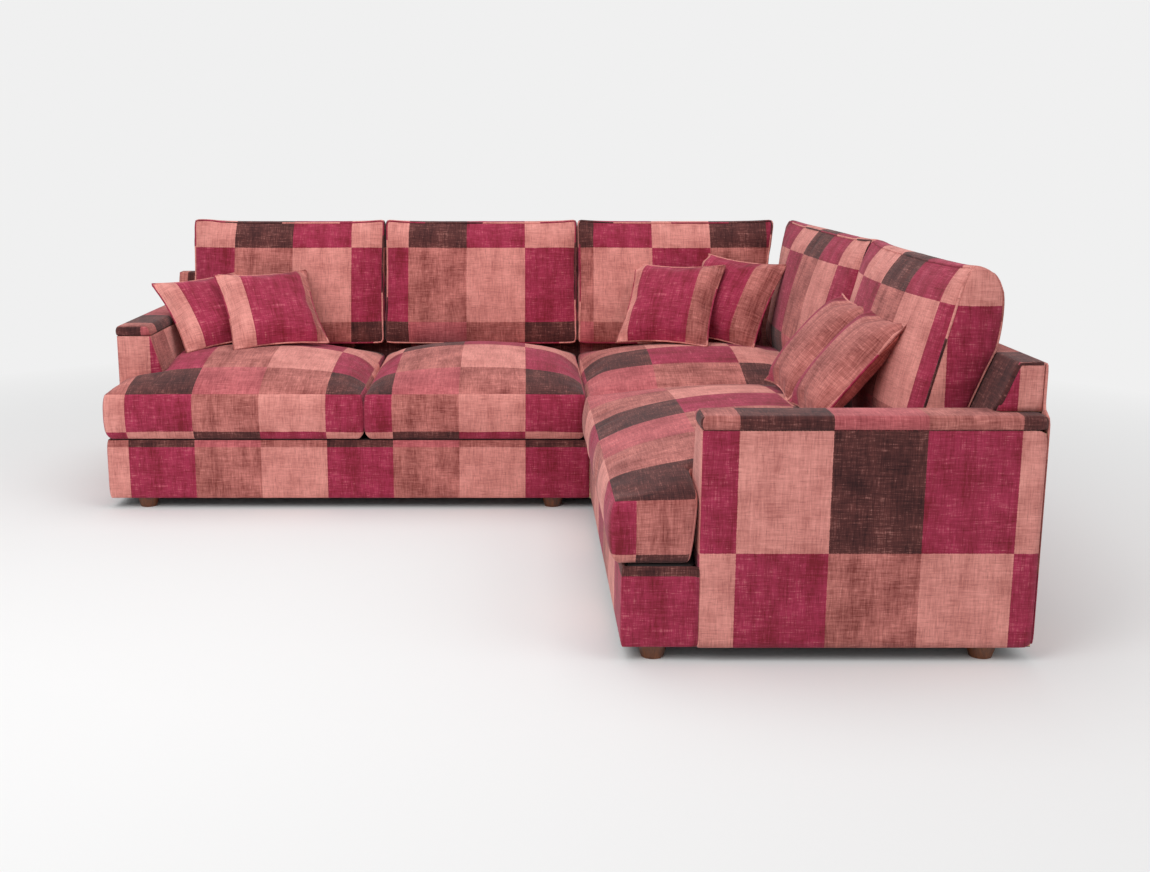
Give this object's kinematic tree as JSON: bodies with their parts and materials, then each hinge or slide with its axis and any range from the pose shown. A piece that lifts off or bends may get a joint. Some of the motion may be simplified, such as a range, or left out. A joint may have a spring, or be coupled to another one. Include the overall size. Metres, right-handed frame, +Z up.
{
  "type": "corner sofa",
  "caption": "L-shaped upholstered corner sofa with loose seat, back and scatter cushions on a sprung timber base with low flat-topped arms and short round feet.",
  "frame": {"origin": "on the floor, under the middle of the rectangle that the sofa fills", "axes": "+X right along the long back as a person facing the sofa sees it, +Y towards the back wall, +Z up"},
  "size_m": [2.631, 2.364, 0.935],
  "materials": {
    "cover_fabric": "matte woven",
    "cushion_fabric": "matte woven",
    "lining_cloth": "matte",
    "frame_timber": "raw sawn",
    "stained_foot_wood": "satin",
    "steel_wire_and_bolts": "satin"
  },
  "bodies": {
    "frame": {"left_unit_front_rail": "frame_timber", "left_unit_seat_back_rail": "frame_timber", "left_unit_cross_rails": "frame_timber", "left_unit_seat_springs": "steel_wire_and_bolts", "left_unit_deck_lining": "lining_cloth", "left_unit_front_border": "cover_fabric", "left_unit_outside_back": "cover_fabric", "left_unit_inside_back": "cover_fabric", "left_unit_back_frame": "frame_timber", "left_unit_feet": "stained_foot_wood", "right_unit_front_rail": "frame_timber", "right_unit_seat_back_rail": "frame_timber", "right_unit_cross_rails": "frame_timber", "right_unit_seat_springs": "steel_wire_and_bolts", "right_unit_deck_lining": "lining_cloth", "right_unit_front_border": "cover_fabric", "right_unit_outside_back": "cover_fabric", "right_unit_inside_back": "cover_fabric", "right_unit_back_frame": "frame_timber", "right_unit_feet": "stained_foot_wood", "left_arm_frame": "frame_timber", "left_arm_cover": "cover_fabric", "left_arm_cap": "cover_fabric", "right_arm_frame": "frame_timber", "right_arm_cover": "cover_fabric", "right_arm_cap": "cover_fabric", "corner_unit_long_rails": "frame_timber", "corner_unit_cross_rails": "frame_timber", "corner_unit_seat_springs": "steel_wire_and_bolts", "corner_unit_deck_lining": "lining_cloth", "corner_unit_rear_back_frame": "frame_timber", "corner_unit_side_back_frame": "frame_timber", "corner_unit_rear_inside_back": "cover_fabric", "corner_unit_side_inside_back": "cover_fabric", "corner_unit_rear_outside_back": "cover_fabric", "corner_unit_side_outside_back": "cover_fabric", "corner_unit_feet": "stained_foot_wood", "dust_covers": "lining_cloth", "foot_bolts": "steel_wire_and_bolts", "foot_nuts": "steel_wire_and_bolts", "foot_blocks": "frame_timber", "unit_joining_bolts": "steel_wire_and_bolts", "unit_joining_nuts": "steel_wire_and_bolts"},
    "left_seat": {"left_seat_cushion": "cushion_fabric"},
    "middle_seat": {"middle_seat_cushion": "cushion_fabric"},
    "right_seat": {"right_seat_cushion": "cushion_fabric"},
    "corner_seat": {"corner_seat_cushion": "cushion_fabric"},
    "left_back": {"left_back_cushion": "cushion_fabric"},
    "middle_back": {"middle_back_cushion": "cushion_fabric"},
    "corner_back": {"corner_back_cushion": "cushion_fabric"},
    "corner_side_back": {"corner_side_back_cushion": "cushion_fabric"},
    "right_back": {"right_back_cushion": "cushion_fabric"},
    "scatter_on_left_arm": {"scatter_cushion_on_left_arm": "cushion_fabric"},
    "scatter_left": {"scatter_cushion_left": "cushion_fabric"},
    "scatter_corner_right": {"scatter_cushion_corner_right": "cushion_fabric"},
    "scatter_corner_left": {"scatter_cushion_corner_left": "cushion_fabric"},
    "scatter_right_back": {"scatter_cushion_right_back": "cushion_fabric"},
    "scatter_right_front": {"scatter_cushion_right_front": "cushion_fabric"}
  },
  "joints": [
    {"name": "left_seat_lift", "type": "slide", "parent": "frame", "child": "left_seat", "axis": [0, 0, 1], "range_m": [0, 0.7]},
    {"name": "middle_seat_lift", "type": "slide", "parent": "frame", "child": "middle_seat", "axis": [0, 0, 1], "range_m": [0, 0.7]},
    {"name": "right_seat_lift", "type": "slide", "parent": "frame", "child": "right_seat", "axis": [0, 0, 1], "range_m": [0, 0.7]},
    {"name": "corner_seat_lift", "type": "slide", "parent": "right_seat", "child": "corner_seat", "axis": [0, 0, 1], "range_m": [0, 0.7]},
    {"name": "left_back_lift", "type": "slide", "parent": "left_seat", "child": "left_back", "axis": [0, 0.2421, 0.9703], "range_m": [0, 0.5]},
    {"name": "middle_back_lift", "type": "slide", "parent": "middle_seat", "child": "middle_back", "axis": [0, 0.2421, 0.9703], "range_m": [0, 0.5]},
    {"name": "corner_back_lift", "type": "slide", "parent": "corner_seat", "child": "corner_back", "axis": [0, 0.2421, 0.9703], "range_m": [0, 0.5]},
    {"name": "corner_side_back_lift", "type": "slide", "parent": "corner_seat", "child": "corner_side_back", "axis": [0.2421, 0, 0.9703], "range_m": [0, 0.5]},
    {"name": "right_back_lift", "type": "slide", "parent": "right_seat", "child": "right_back", "axis": [0.2421, 0, 0.9703], "range_m": [0, 0.5]},
    {"name": "scatter_on_left_arm_lift", "type": "slide", "parent": "left_back", "child": "scatter_on_left_arm", "axis": [0, -0.3303, 0.9439], "range_m": [0, 0.5]},
    {"name": "scatter_left_lift", "type": "slide", "parent": "scatter_on_left_arm", "child": "scatter_left", "axis": [0, -0.3303, 0.9439], "range_m": [0, 0.5]},
    {"name": "scatter_corner_right_lift", "type": "slide", "parent": "corner_back", "child": "scatter_corner_right", "axis": [0, -0.3303, 0.9439], "range_m": [0, 0.5]},
    {"name": "scatter_corner_left_lift", "type": "slide", "parent": "scatter_corner_right", "child": "scatter_corner_left", "axis": [0, -0.3303, 0.9439], "range_m": [0, 0.5]},
    {"name": "scatter_right_back_lift", "type": "slide", "parent": "right_back", "child": "scatter_right_back", "axis": [-0.3303, 0, 0.9439], "range_m": [0, 0.5]},
    {"name": "scatter_right_front_lift", "type": "slide", "parent": "right_back", "child": "scatter_right_front", "axis": [-0.3303, 0, 0.9439], "range_m": [0, 0.5]}
  ]
}
